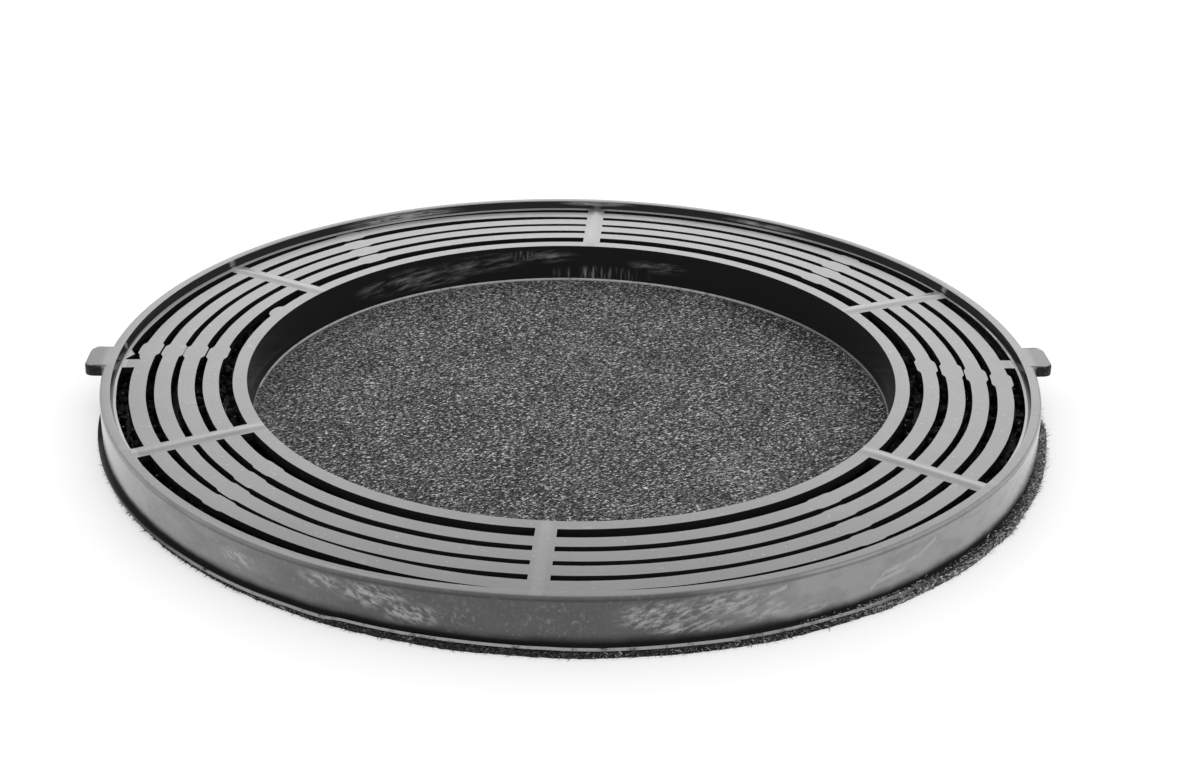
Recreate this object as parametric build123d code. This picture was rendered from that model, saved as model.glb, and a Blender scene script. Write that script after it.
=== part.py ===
"""A round carbon filter for a cooker hood: a slotted plastic frame, its carbon charge and a felt disc.

Millimetres. The origin is at the middle of the underside of the filter, +Z up. The slotted face is on
top, one pair of spokes lies along Y, and the two bayonet lugs stand a few degrees off the X axis.
"""
from build123d import *
import os
from math import asin, cos, degrees, radians, sin

# The ring as a whole
OUTER_RADIUS = 117.0
FRAME_DEPTH = 11.6
OUTER_WALL = 2.0
INNER_WALL = 1.8

# The raised rim round the slotted face
RIM_WIDTH = 2.6
RIM_DROP = 2.0
RIM_SPREAD = 0.6
RIM_EDGE_BREAK = 0.5
LEDGE_WIDTH = 0.7

# The slotted face, from the rim inwards
WIDE_SLOT = 3.0
NARROW_SLOT = 1.6
NARROW_SLOT_COUNT = 3
BAR_WIDTH = 4.3
INNER_RING_WIDTH = 3.7
GRILLE_THICKNESS = 1.6
CROWN = 0.7

# The spokes that carry the bars
SPOKE_COUNT = 6
SPOKE_WIDTH = 4.8
SPOKE_WEB_DEPTH = 1.4
SPOKE_WEB_WIDTH = 2.4
SPOKE_RIB_WIDTH = 1.8
SPOKE_RIB_HEIGHT = 0.25

# The widened pads on the bars: the angle of each row at its innermost and at its outermost bar
PAD_ROWS = ((5.0, 1.0), (45.0, 47.5), (132.5, 130.0), (180.5, 179.5), (223.5, 227.0), (312.5, 310.5))
PAD_LENGTH = 7.5
PAD_BULGE = 0.55
PAD_TAPER = 1.2

# The bayonet lugs, and the bridge over the outermost slot beside each
LUG_ANGLES = (6.2, 184.1)
LUG_WIDTH = 12.2
LUG_REACH = 5.0
LUG_THICKNESS = 2.7
LUG_CORNER_RADIUS = 2.4
BRIDGE_WIDTH = 4.8

# The foot: a thin flange round the outside and a lip inside the hole, both on the felt
FLANGE_REACH = 1.2
FLANGE_THICKNESS = 0.7
LIP_REACH = 1.2
LIP_THICKNESS = 0.7

# What moulding and use have left on the frame
BOWED_BAR_SECTOR = (210.0, 270.0)
BOWED_BAR_SHIFT = 1.1
NUB_ANGLE = 161.5
NUB_LENGTH = 6.6
NUB_HEIGHT = 1.6
WEDGE_ANGLES = (179.9, 181.2, 182.6)
WEDGE_HEIGHT = 1.6
TEAR_ANGLE = 182.7
TEAR_LENGTH = 2.6
TEAR_WIDTH = 0.5
TEAR_SLANT = 45.0

# The felt disc, cut a little over size and bonded on a little to one side
FELT_OVERHANG = 0.3
FELT_THICKNESS = 1.5
FELT_OFFSET = 1.1

# The carbon charge, loose in the channel between the two walls
CHARGE_CLEARANCE = 0.3


# Levels and radii that follow from the sizes above
FOOT = FELT_THICKNESS
TOP = FOOT + FRAME_DEPTH
LEDGE_LEVEL = TOP - RIM_DROP
RIM_INNER_RADIUS = OUTER_RADIUS - RIM_WIDTH
RIM_FOOT_RADIUS = RIM_INNER_RADIUS - RIM_SPREAD
GRILLE_RADIUS = RIM_FOOT_RADIUS - LEDGE_WIDTH
SLOT_WIDTHS = [WIDE_SLOT] + [NARROW_SLOT] * NARROW_SLOT_COUNT + [WIDE_SLOT]
BAR_COUNT = len(SLOT_WIDTHS) - 1
HOLE_RADIUS = GRILLE_RADIUS - sum(SLOT_WIDTHS) - BAR_COUNT * BAR_WIDTH - INNER_RING_WIDTH
HOLE_LEVEL = LEDGE_LEVEL + CROWN
CHANNEL_OUTER_RADIUS = OUTER_RADIUS - OUTER_WALL
CHANNEL_INNER_RADIUS = HOLE_RADIUS + INNER_WALL
FLANGE_RADIUS = OUTER_RADIUS + FLANGE_REACH
LIP_RADIUS = HOLE_RADIUS - LIP_REACH
FELT_RADIUS = FLANGE_RADIUS + FELT_OVERHANG
SPOKE_ANGLES = [90.0 + 360.0 / SPOKE_COUNT * number for number in range(SPOKE_COUNT)]
CEILING = LEDGE_LEVEL - GRILLE_THICKNESS
WEB_LEVEL = CEILING - SPOKE_WEB_DEPTH


def at_angle(radius, angle):
    """The point of the top view at this radius and angle."""
    return Vector(radius * cos(radians(angle)), radius * sin(radians(angle)))


def face_level(radius):
    """Height of the slotted face, which rises a little from the ledge to the hole."""
    share = (GRILLE_RADIUS - radius) / (GRILLE_RADIUS - HOLE_RADIUS)
    return LEDGE_LEVEL + CROWN * share


def nearest(face, radius, level):
    """The corner of a section that lies nearest to this radius and height."""
    return min(face.vertices(), key=lambda corner: abs(corner.X - radius) + abs(corner.Z - level))


def section(*corners):
    """A closed section in the XZ plane, from radius and height pairs."""
    return make_face(Polyline(*[(radius, 0, level) for radius, level in corners], close=True))


def ring_plate(thickness, height, inner, outer):
    """A band that lies on the slotted face: from thickness below it to height above it."""
    band = section(
        (outer, face_level(outer) - thickness),
        (outer, face_level(outer) + height),
        (inner, face_level(inner) + height),
        (inner, face_level(inner) - thickness),
    )
    return revolve(band, Axis.Z)


def frame_body():
    """The revolved moulding before its slots: both walls, rim, face, flange and lip."""
    profile = section(
        (FLANGE_RADIUS, FOOT),
        (FLANGE_RADIUS, FOOT + FLANGE_THICKNESS),
        (OUTER_RADIUS, FOOT + FLANGE_THICKNESS),
        (OUTER_RADIUS, TOP),
        (RIM_INNER_RADIUS, TOP),
        (RIM_FOOT_RADIUS, LEDGE_LEVEL),
        (GRILLE_RADIUS, LEDGE_LEVEL),
        (HOLE_RADIUS, HOLE_LEVEL),
        (HOLE_RADIUS, FOOT + LIP_THICKNESS),
        (LIP_RADIUS, FOOT + LIP_THICKNESS),
        (LIP_RADIUS, FOOT),
        (CHANNEL_INNER_RADIUS, FOOT),
        (CHANNEL_INNER_RADIUS, CEILING),
        (CHANNEL_OUTER_RADIUS, CEILING),
        (CHANNEL_OUTER_RADIUS, FOOT),
    )
    rim_edge = nearest(profile, OUTER_RADIUS, TOP)
    return revolve(chamfer(rim_edge, RIM_EDGE_BREAK), Axis.Z)


def ring(inner, outer):
    """A flat ring in the top view."""
    return Circle(outer) - Circle(inner)


def strip(angle, inner, outer, width):
    """A flat radial strip in the top view."""
    middle = (inner + outer) / 2
    return Rot(0, 0, angle) * Pos(middle, 0) * Rectangle(outer - inner, width)


def crescent(radius, sector, shift):
    """What a bar's edge gives up or takes over where the bar has bowed inwards between two spokes."""
    spoke_share = degrees(asin(SPOKE_WIDTH / 2 / radius))
    start, end = sector[0] + spoke_share, sector[1] - spoke_share
    middle = (start + end) / 2
    first, last = at_angle(radius, start), at_angle(radius, end)
    true_edge = ThreePointArc(first, at_angle(radius, middle), last)
    bowed_edge = ThreePointArc(last, at_angle(radius - shift, middle), first)
    return make_face([true_edge, bowed_edge])


def bar_radii():
    """Inner and outer radius of each bar, from the outermost inwards."""
    radii = []
    outer = GRILLE_RADIUS
    for width in SLOT_WIDTHS[:-1]:
        bar_outer = outer - width
        radii.append((bar_outer - BAR_WIDTH, bar_outer))
        outer = bar_outer - BAR_WIDTH
    return radii


def pad(inner, outer, angle):
    """The top view of one widened pad on a bar, with tapered ends."""
    middle = (inner + outer) / 2
    half = degrees(PAD_LENGTH / 2 / middle)
    shoulder = half - degrees(PAD_TAPER / middle)
    low, high = inner - PAD_BULGE, outer + PAD_BULGE
    outline = [
        ThreePointArc(at_angle(high, -shoulder), at_angle(high, 0), at_angle(high, shoulder)),
        Line(at_angle(high, shoulder), at_angle(outer, half)),
        Line(at_angle(outer, half), at_angle(inner, half)),
        Line(at_angle(inner, half), at_angle(low, shoulder)),
        ThreePointArc(at_angle(low, shoulder), at_angle(low, 0), at_angle(low, -shoulder)),
        Line(at_angle(low, -shoulder), at_angle(inner, -half)),
        Line(at_angle(inner, -half), at_angle(outer, -half)),
        Line(at_angle(outer, -half), at_angle(high, -shoulder)),
    ]
    return Rot(0, 0, angle) * make_face(outline)


def slot_layout():
    """The top view of everything that is open in the slotted face."""
    bars = bar_radii()
    slots = ring(bars[0][1], GRILLE_RADIUS)
    slots += crescent(bars[0][1], BOWED_BAR_SECTOR, BOWED_BAR_SHIFT)
    for number, (inner, outer) in enumerate(bars):
        next_edge = bars[number + 1][1] if number + 1 < BAR_COUNT else inner - WIDE_SLOT
        slots += ring(next_edge, inner)
    slots -= crescent(bars[0][0], BOWED_BAR_SECTOR, BOWED_BAR_SHIFT)
    for inner_angle, outer_angle in PAD_ROWS:
        for number, (inner, outer) in enumerate(bars):
            share = number / (BAR_COUNT - 1)
            slots -= pad(inner, outer, outer_angle + share * (inner_angle - outer_angle))
    for angle in SPOKE_ANGLES:
        slots -= strip(angle, HOLE_RADIUS, GRILLE_RADIUS + LEDGE_WIDTH, SPOKE_WIDTH)
    for angle in LUG_ANGLES:
        slots -= strip(angle, bars[0][1] - PAD_BULGE, GRILLE_RADIUS + LEDGE_WIDTH, BRIDGE_WIDTH)
    slots -= flaws_left_proud()
    slots += torn_corner(bars[0][1])
    return slots


def flaws_left_proud():
    """A nub of flash on the inner ring and a small wedge on the ledge, in the top view."""
    ring_edge = HOLE_RADIUS + INNER_RING_WIDTH
    nub = Rot(0, 0, NUB_ANGLE) * Pos(ring_edge, 0) * Ellipse(NUB_HEIGHT, NUB_LENGTH / 2)
    first, tip, last = WEDGE_ANGLES
    root = GRILLE_RADIUS + LEDGE_WIDTH / 2
    wedge = make_face(Polyline(
        at_angle(root, first),
        at_angle(GRILLE_RADIUS - WEDGE_HEIGHT, tip),
        at_angle(root, last),
        close=True,
    ))
    return nub + wedge


def torn_corner(bar_edge):
    """The short tear where one bridge has come away from the outermost bar."""
    start = at_angle(bar_edge, TEAR_ANGLE)
    return Pos(start.X, start.Y) * Rot(0, 0, TEAR_ANGLE - TEAR_SLANT) * Rectangle(TEAR_LENGTH, TEAR_WIDTH)


def lug(angle):
    """One flat bayonet lug, flush with the top of the rim."""
    root = OUTER_RADIUS - RIM_WIDTH / 2
    tip = OUTER_RADIUS + LUG_REACH
    plan = Pos((root + tip) / 2, 0) * Rectangle(tip - root, LUG_WIDTH)
    plan = fillet(plan.vertices().group_by(Axis.X)[-1], LUG_CORNER_RADIUS)
    return Rot(0, 0, angle) * extrude(Pos(0, 0, TOP - LUG_THICKNESS) * plan, LUG_THICKNESS)


def on_spokes(inner, outer, width, bottom, top):
    """Radial blocks of this width and height, one on each spoke."""
    blocks = [strip(angle, inner, outer, width) for angle in SPOKE_ANGLES]
    return [extrude(Pos(0, 0, bottom) * block, top - bottom) for block in blocks]


def spoke_webs():
    """The webs under the spokes, which run from wall to wall of the channel."""
    inner = CHANNEL_INNER_RADIUS - INNER_WALL / 2
    outer = CHANNEL_OUTER_RADIUS + OUTER_WALL / 2
    return on_spokes(inner, outer, SPOKE_WEB_WIDTH, WEB_LEVEL, CEILING + GRILLE_THICKNESS / 2)


def spoke_ribs():
    """The low ribs along the tops of the spokes, which follow the crown of the face."""
    inner = HOLE_RADIUS + INNER_RING_WIDTH / 2
    band = ring_plate(SPOKE_RIB_HEIGHT, SPOKE_RIB_HEIGHT, inner, RIM_INNER_RADIUS)
    return [band & block for block in on_spokes(0, OUTER_RADIUS, SPOKE_RIB_WIDTH, FOOT, TOP)]


def make_frame():
    """The moulded plastic frame, in one piece."""
    frame = frame_body() - extrude(Pos(0, 0, WEB_LEVEL) * slot_layout(), TOP - WEB_LEVEL)
    frame += spoke_webs()
    frame += spoke_ribs()
    frame += [lug(angle) for angle in LUG_ANGLES]
    return frame


def make_charge():
    """The bed of carbon granules that fills the channel up to just under the spokes' webs."""
    inner = CHANNEL_INNER_RADIUS + CHARGE_CLEARANCE
    outer = CHANNEL_OUTER_RADIUS - CHARGE_CLEARANCE
    depth = WEB_LEVEL - CHARGE_CLEARANCE - FOOT
    return extrude(Pos(0, 0, FOOT) * ring(inner, outer), depth)


def make_felt():
    """The round of carbon felt under the whole filter."""
    return extrude(Pos(FELT_OFFSET, 0) * Circle(FELT_RADIUS), FELT_THICKNESS)


os.makedirs("parts", exist_ok=True)
export_step(make_frame(), "parts/frame.step")
export_step(make_charge(), "parts/carbon_granules.step")
export_step(make_felt(), "parts/carbon_felt.step")
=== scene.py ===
import random
from math import asin, atan2, cos, degrees, floor, hypot, pi, radians, sin, sqrt

import bpy
from mathutils import Matrix, Vector, noise


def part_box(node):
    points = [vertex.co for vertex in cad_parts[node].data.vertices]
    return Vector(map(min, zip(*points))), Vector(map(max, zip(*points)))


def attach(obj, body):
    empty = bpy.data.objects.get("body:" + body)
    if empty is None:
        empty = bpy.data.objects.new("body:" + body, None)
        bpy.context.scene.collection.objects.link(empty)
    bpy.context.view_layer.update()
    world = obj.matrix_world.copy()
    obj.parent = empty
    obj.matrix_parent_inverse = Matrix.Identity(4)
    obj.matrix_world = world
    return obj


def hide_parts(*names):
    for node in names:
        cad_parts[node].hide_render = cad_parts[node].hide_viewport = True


# A round carbon filter for a cooker hood, lying on its felt with the slotted face up.
# Meshes are in metres, so sizes are millimetres times MM.
# Angles are degrees anticlockwise of +X, seen from above.
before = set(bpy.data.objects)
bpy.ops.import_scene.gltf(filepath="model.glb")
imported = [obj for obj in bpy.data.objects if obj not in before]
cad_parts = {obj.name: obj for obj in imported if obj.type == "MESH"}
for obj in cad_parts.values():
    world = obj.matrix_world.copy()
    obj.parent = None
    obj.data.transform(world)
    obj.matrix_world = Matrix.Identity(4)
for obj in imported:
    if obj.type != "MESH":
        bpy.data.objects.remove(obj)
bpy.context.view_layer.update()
MM = 0.001

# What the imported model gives
FRAME_LOW, FRAME_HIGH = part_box("frame")
FELT_LOW, FELT_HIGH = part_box("carbon_felt")
CHARGE_LOW, CHARGE_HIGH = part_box("carbon_granules")
FOOT = FRAME_LOW.z
TOP = FRAME_HIGH.z
FLANGE_RADIUS = FRAME_HIGH.y
CHARGE_RADIUS = CHARGE_HIGH.y
CHARGE_LEVEL = CHARGE_HIGH.z
FELT_RADIUS = (FELT_HIGH.y - FELT_LOW.y) / 2
FELT_MIDDLE = (FELT_LOW.x + FELT_HIGH.x) / 2

# The rim and both walls, with the heights over the foot at which the walls have further rows of corners
RIM_RADIUS = 117.0 * MM
RIM_WIDTH = 2.6 * MM
RIM_DROP = 2.0 * MM
RIM_SPREAD = 0.6 * MM
OUTER_WALL = 2.0 * MM
INNER_WALL = 1.8 * MM
FLANGE_THICKNESS = 0.7 * MM
LIP_REACH = 1.2 * MM
LIP_THICKNESS = 0.7 * MM
WALL_LEVELS = (3.4 * MM, 6.2 * MM)

# The slotted face, from the rim inwards
LEDGE_WIDTH = 0.7 * MM
SLOT_WIDTHS = [3.0 * MM, 1.6 * MM, 1.6 * MM, 1.6 * MM, 3.0 * MM]
BAR_WIDTH = 4.3 * MM
INNER_RING_WIDTH = 3.7 * MM
FACE_THICKNESS = 1.6 * MM
CROWN = 0.7 * MM

# Spokes, with a rib above and a web of a few columns of the mesh below
SECTOR = 60
SPOKE_ANGLES = tuple(range(30, 360, SECTOR))
SPOKE_WIDTH = 4.8 * MM
SPOKE_RIB_HEIGHT = 0.28 * MM
SPOKE_RIB_SPREAD = 1.9 * MM
SPOKE_WEB_WIDTH = 2.4 * MM
SPOKE_WEB_DEPTH = 1.4 * MM
WEB_COLUMNS = 2

# Pad rows: the angle on the innermost and the outermost bar, and how far the pads stand out in millimetres
PAD_ROWS = ((5.0, 1.0, 0.7), (45.0, 47.5, 0.6), (132.5, 130.0, 0.6),
            (180.5, 179.5, 0.75), (223.5, 227.0, 0.4), (312.5, 310.5, 0.35))
PAD_LENGTH = 7.5 * MM
PAD_TAPER = 1.2 * MM

# Bayonet lugs, and the bridges that carry them over the outermost slot
LUG_ANGLES = (6.2, 184.1)
LUG_WIDTH = 12.2 * MM
LUG_REACH = 5.0 * MM
LUG_THICKNESS = 2.7 * MM
LUG_CORNER = 2.4 * MM
LUG_CORNER_STEPS = 5
BRIDGE_WIDTH = 4.8 * MM

# Bowed bars: the spoke before, the angle of the largest bow, the bar from outside, and how far in its outer
# and inner edges lie, in millimetres
BOWED_BARS = ((210, 243, 1, 1.0, 1.0), (210, 243, 2, -0.4, -0.3), (210, 243, 3, -0.4, -0.2),
              (270, 296, 1, 0.7, 0.6),
              (90, 120, 1, -1.35, -1.1), (90, 120, 2, -0.3, -0.3), (90, 120, 3, -0.3, -0.3),
              (330, 345, 1, -0.5, -0.5), (330, 345, 2, -0.4, -0.4), (330, 345, 3, -0.4, -0.3))

# How much wider each slot came out of the mould, from the rim inwards
SLOT_WIDENING = (0.1 * MM, 0.45 * MM, 0.1 * MM, 0.35 * MM, 0.45 * MM)

# Stretches of wider ledge, leaning rim and lifted flange: the angles at which each starts, is full, is still
# full and has ended
WIDE_LEDGE_ANGLES = (40, 60, 165, 185)
WIDE_LEDGE = 0.7 * MM
LEAN_ANGLES = (242, 270, 312, 344)
LEAN_DEPTH = 1.3 * MM
FLANGE_STEP_ANGLES = (247, 250, 262, 284)
FLANGE_LIFT = 0.6 * MM

# A nub on the inner ring, a wedge on the ledge and a torn corner of the outermost bar
NUB_ANGLE = 161.5
NUB_LENGTH = 6.6 * MM
NUB_HEIGHT = 1.6 * MM
WEDGE_ANGLES = (179.9, 181.2, 182.6)
WEDGE_HEIGHT = 1.6 * MM
TEAR_ANGLES = (181.9, 183.3)
TEAR_DEPTH = 1.0 * MM

# The waver of the slots' edges and of the flange's thin edge
EDGE_WAVER = 0.1 * MM
EDGE_WAVE_LENGTH = 9 * MM
FLANGE_WAVER = 0.25 * MM
FLANGE_WAVE_LENGTH = 12 * MM

# How finely the frame is cut and how its edges are rounded
COLUMNS = 900
COLUMN_ANGLE = 360 / COLUMNS
RIM_ROUNDING = 0.6 * MM
RIM_SEGMENTS = 3
EDGE_ROUNDING = 0.1 * MM
EDGE_SEGMENTS = 2
SHARP_ANGLE = 40

# How near two points are to be the same one, and the least Z, up or down, of the normal of a level face
SAME_PLACE = 0.02 * MM
LEVEL_NORMAL = 0.5

# Levels and radii that follow from the sizes above
LEDGE_LEVEL = TOP - RIM_DROP
CEILING = LEDGE_LEVEL - FACE_THICKNESS
HOLE_LEVEL = LEDGE_LEVEL + CROWN
RIM_INNER_RADIUS = RIM_RADIUS - RIM_WIDTH
RIM_FOOT_RADIUS = RIM_INNER_RADIUS - RIM_SPREAD
FACE_RADIUS = RIM_FOOT_RADIUS - LEDGE_WIDTH
CHANNEL_OUTER_RADIUS = RIM_RADIUS - OUTER_WALL


def slot_edges():
    """Radii of the slots' edges, from the rim inwards: the outer and the inner edge of each slot in turn."""
    edges = []
    radius = FACE_RADIUS
    for width in SLOT_WIDTHS:
        edges += [radius, radius - width]
        radius -= width + BAR_WIDTH
    return edges


SLOT_EDGES = slot_edges()
HOLE_RADIUS = SLOT_EDGES[-1] - INNER_RING_WIDTH
CHANNEL_INNER_RADIUS = HOLE_RADIUS + INNER_WALL
LIP_RADIUS = HOLE_RADIUS - LIP_REACH


# Small helpers for modelling
def deselect():
    """Nothing selected and nothing in edit mode."""
    if bpy.context.object and bpy.context.object.mode != "OBJECT":
        bpy.ops.object.mode_set(mode="OBJECT")
    bpy.ops.object.select_all(action="DESELECT")


def activate(piece):
    """Only this piece is selected and active."""
    deselect()
    piece.select_set(True)
    bpy.context.view_layer.objects.active = piece


def edit(piece, mode="FACE"):
    """Edit mode on this piece with nothing selected, for the next operators."""
    activate(piece)
    bpy.ops.object.mode_set(mode="EDIT")
    bpy.ops.mesh.select_mode(type=mode)
    bpy.ops.mesh.select_all(action="DESELECT")
    bpy.ops.object.mode_set(mode="OBJECT")


def select_faces(piece, chosen):
    """Selects the faces for which chosen is true, and leaves edit mode on."""
    edit(piece)
    for face in piece.data.polygons:
        face.select = chosen(face)
    bpy.ops.object.mode_set(mode="EDIT")


def finish_modifiers(piece):
    """Applies every modifier on the piece, in order."""
    activate(piece)
    for modifier in list(piece.modifiers):
        bpy.ops.object.modifier_apply(modifier=modifier.name)


def polar(point):
    """Radius and angle of a point, seen from above."""
    return hypot(point.x, point.y), degrees(atan2(point.y, point.x))


def at_polar(radius, angle, level):
    """The point at this radius, angle and height."""
    return Vector((radius * cos(radians(angle)), radius * sin(radians(angle)), level))


def turn_between(angle, middle):
    """How far the angle is past the middle one, from -180 to 180."""
    return (angle - middle + 180) % 360 - 180


def smooth_step(low, high, value):
    """0 below low, 1 above high, and a smooth rise between."""
    share = min(1, max(0, (value - low) / (high - low)))
    return share * share * (3 - 2 * share)


def within(angles, angle):
    """1 from the second to the third of four angles, falling to 0 at the first and at the last."""
    start, full, still_full, ended = angles
    return smooth_step(start, full, angle % 360) * smooth_step(ended, still_full, angle % 360)


def spun_ring(name, section, steps):
    """A closed ring, spun round Z from the corners of its section, which are (radius, height) pairs."""
    deselect()
    bpy.ops.mesh.primitive_circle_add(vertices=len(section), radius=RIM_RADIUS)
    ring = bpy.context.active_object
    ring.name = name
    for corner, (radius, level) in zip(ring.data.vertices, section):
        corner.co = (radius, 0, level)
    bpy.ops.object.mode_set(mode="EDIT")
    bpy.ops.mesh.select_all(action="SELECT")
    bpy.ops.mesh.spin(steps=steps, angle=2 * pi, center=(0, 0, 0), axis=(0, 0, 1))
    bpy.ops.mesh.select_all(action="SELECT")
    bpy.ops.mesh.remove_doubles(threshold=SAME_PLACE)
    bpy.ops.mesh.normals_make_consistent(inside=False)
    bpy.ops.object.mode_set(mode="OBJECT")
    return ring


def mesh_piece(name, points, sides):
    """A piece from its points and from the sides that join them."""
    mesh = bpy.data.meshes.new(name)
    mesh.from_pydata(points, [], sides)
    piece = bpy.data.objects.new(name, mesh)
    bpy.context.collection.objects.link(piece)
    return piece


# The slotted frame
def frame_section():
    """The section of the whole moulding, with a corner at each slot's edge above and below."""
    crown_share = CROWN / (FACE_RADIUS - HOLE_RADIUS)
    low_row, high_row = (FOOT + height for height in WALL_LEVELS)
    wall_levels = [FOOT + FLANGE_THICKNESS, low_row, high_row, TOP - LUG_THICKNESS, TOP]
    outside = [(FLANGE_RADIUS, FOOT), (FLANGE_RADIUS, FOOT + FLANGE_THICKNESS)]
    outside += [(RIM_RADIUS, level) for level in wall_levels]
    face = [(RIM_INNER_RADIUS, TOP), (RIM_FOOT_RADIUS, LEDGE_LEVEL)]
    face += [(radius, LEDGE_LEVEL + crown_share * (FACE_RADIUS - radius)) for radius in SLOT_EDGES]
    hole = [(HOLE_RADIUS, HOLE_LEVEL), (HOLE_RADIUS, high_row), (HOLE_RADIUS, low_row)]
    hole += [(HOLE_RADIUS, FOOT + LIP_THICKNESS), (LIP_RADIUS, FOOT + LIP_THICKNESS), (LIP_RADIUS, FOOT)]
    channel = [(CHANNEL_INNER_RADIUS, FOOT), (CHANNEL_INNER_RADIUS, CEILING)]
    channel += [(radius, CEILING) for radius in reversed(SLOT_EDGES)]
    channel += [(CHANNEL_OUTER_RADIUS, CEILING), (CHANNEL_OUTER_RADIUS, FOOT)]
    return outside + face + hole + channel


def slot_openings():
    """Each opening as its slot's number and the (angle, sideways offset) of the lines that end it."""
    openings = []
    for number in range(len(SLOT_WIDTHS)):
        for spoke in SPOKE_ANGLES:
            lines = [(spoke, SPOKE_WIDTH / 2)]
            for lug in LUG_ANGLES:
                if number == 0 and 0 < turn_between(lug, spoke) < SECTOR:
                    lines += [(lug, -BRIDGE_WIDTH / 2), (lug, BRIDGE_WIDTH / 2)]
            lines.append((spoke + SECTOR, -SPOKE_WIDTH / 2))
            openings += [(number, first, last) for first, last in zip(lines[::2], lines[1::2])]
    return openings


def line_angle(line, radius):
    """Angle at which a line beside a spoke or bridge, parallel with it, crosses this radius."""
    middle, offset = line
    return middle + degrees(asin(offset / radius))


def column_of(line, radius):
    """The column of the mesh nearest to where the line crosses this radius."""
    return round(line_angle(line, radius) / COLUMN_ANGLE) % COLUMNS


def opening_columns(opening):
    """The columns of faces that lie inside an opening."""
    number, first, last = opening
    middle = (SLOT_EDGES[2 * number] + SLOT_EDGES[2 * number + 1]) / 2
    start, end = column_of(first, middle), column_of(last, middle)
    return start, end, {(start + step) % COLUMNS for step in range((end - start) % COLUMNS)}


def cut_slots(piece):
    """Takes the face's openings down through the moulding."""
    open_places = set()
    for opening in slot_openings():
        _, _, columns = opening_columns(opening)
        open_places |= {(opening[0], column) for column in columns}

    def in_slot(face):
        radius, angle = polar(face.center)
        number = next((n for n in range(len(SLOT_WIDTHS))
                       if SLOT_EDGES[2 * n + 1] < radius < SLOT_EDGES[2 * n]), None)
        return (number, floor(angle / COLUMN_ANGLE) % COLUMNS) in open_places

    def under_slot(face):
        at_ceiling = face.center.z < CEILING + SAME_PLACE and face.normal.z < -LEVEL_NORMAL
        return at_ceiling and in_slot(face)

    select_faces(piece, under_slot)
    bpy.ops.mesh.delete(type="FACE")
    select_faces(piece, lambda face: face.center.z > CEILING + SAME_PLACE and in_slot(face))
    bpy.ops.mesh.extrude_region_move()
    bpy.ops.transform.resize(value=(1, 1, 0), center_override=(0, 0, CEILING))
    bpy.ops.mesh.delete(type="FACE")
    bpy.ops.mesh.select_all(action="SELECT")
    bpy.ops.mesh.remove_doubles(threshold=SAME_PLACE)
    bpy.ops.object.mode_set(mode="OBJECT")


def bar_bulge(number, radius, angle):
    """How far the pads stand out from the edges of this bar at this angle."""
    bulge = 0
    for inner_angle, outer_angle, height in PAD_ROWS:
        share = number / (len(SLOT_WIDTHS) - 2)
        middle = outer_angle + share * (inner_angle - outer_angle)
        along = abs(radians(turn_between(angle, middle))) * radius
        bulge = max(bulge, height * MM * min(1, (PAD_LENGTH / 2 - along) / PAD_TAPER))
    return bulge


def bar_bow(edge, angle):
    """How far in this edge lies at this angle because its bar is bowed."""
    inwards = 0
    for start, peak, bar, outer_bow, inner_bow in BOWED_BARS:
        if edge in (2 * bar - 1, 2 * bar):
            bow = outer_bow if edge % 2 == 1 else inner_bow
            along = turn_between(angle, peak)
            bell = smooth_step(start - peak, 0, along) * smooth_step(start + SECTOR - peak, 0, along)
            inwards += bow * MM * bell
    return inwards


def flaw(edge, angle):
    """How far out this edge lies at this angle because of the nub, the wedge or the torn corner."""
    if edge == len(SLOT_EDGES) - 1:
        along = radians(turn_between(angle, NUB_ANGLE)) * SLOT_EDGES[edge] / (NUB_LENGTH / 2)
        return NUB_HEIGHT * sqrt(max(0, 1 - along * along))
    if edge == 0:
        start, tip, end = WEDGE_ANGLES
        past_tip = turn_between(angle, tip)
        span = tip - start if past_tip < 0 else end - tip
        return -WEDGE_HEIGHT * max(0, 1 - abs(past_tip) / span)
    start, end = TEAR_ANGLES
    if edge == 1 and start < angle % 360 < end:
        return -TEAR_DEPTH * (angle % 360 - start) / (end - start)
    return 0


def edge_shift(edge, angle):
    """How far out a slot's edge is from its own radius at this angle."""
    radius = SLOT_EDGES[edge]
    shift = SLOT_WIDENING[edge // 2] / 2 * (1 if edge % 2 == 0 else -1)
    if edge % 2 == 1 and edge < len(SLOT_EDGES) - 1:
        shift += bar_bulge(edge // 2, radius, angle)
    if edge % 2 == 0 and edge > 0:
        shift -= bar_bulge(edge // 2 - 1, radius, angle)
    if edge == 0:
        shift -= WIDE_LEDGE * within(WIDE_LEDGE_ANGLES, angle)
    shift += flaw(edge, angle) - bar_bow(edge, angle)
    return shift + EDGE_WAVER * noise.noise(at_polar(radius, angle, radius * 3) / EDGE_WAVE_LENGTH)


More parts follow.
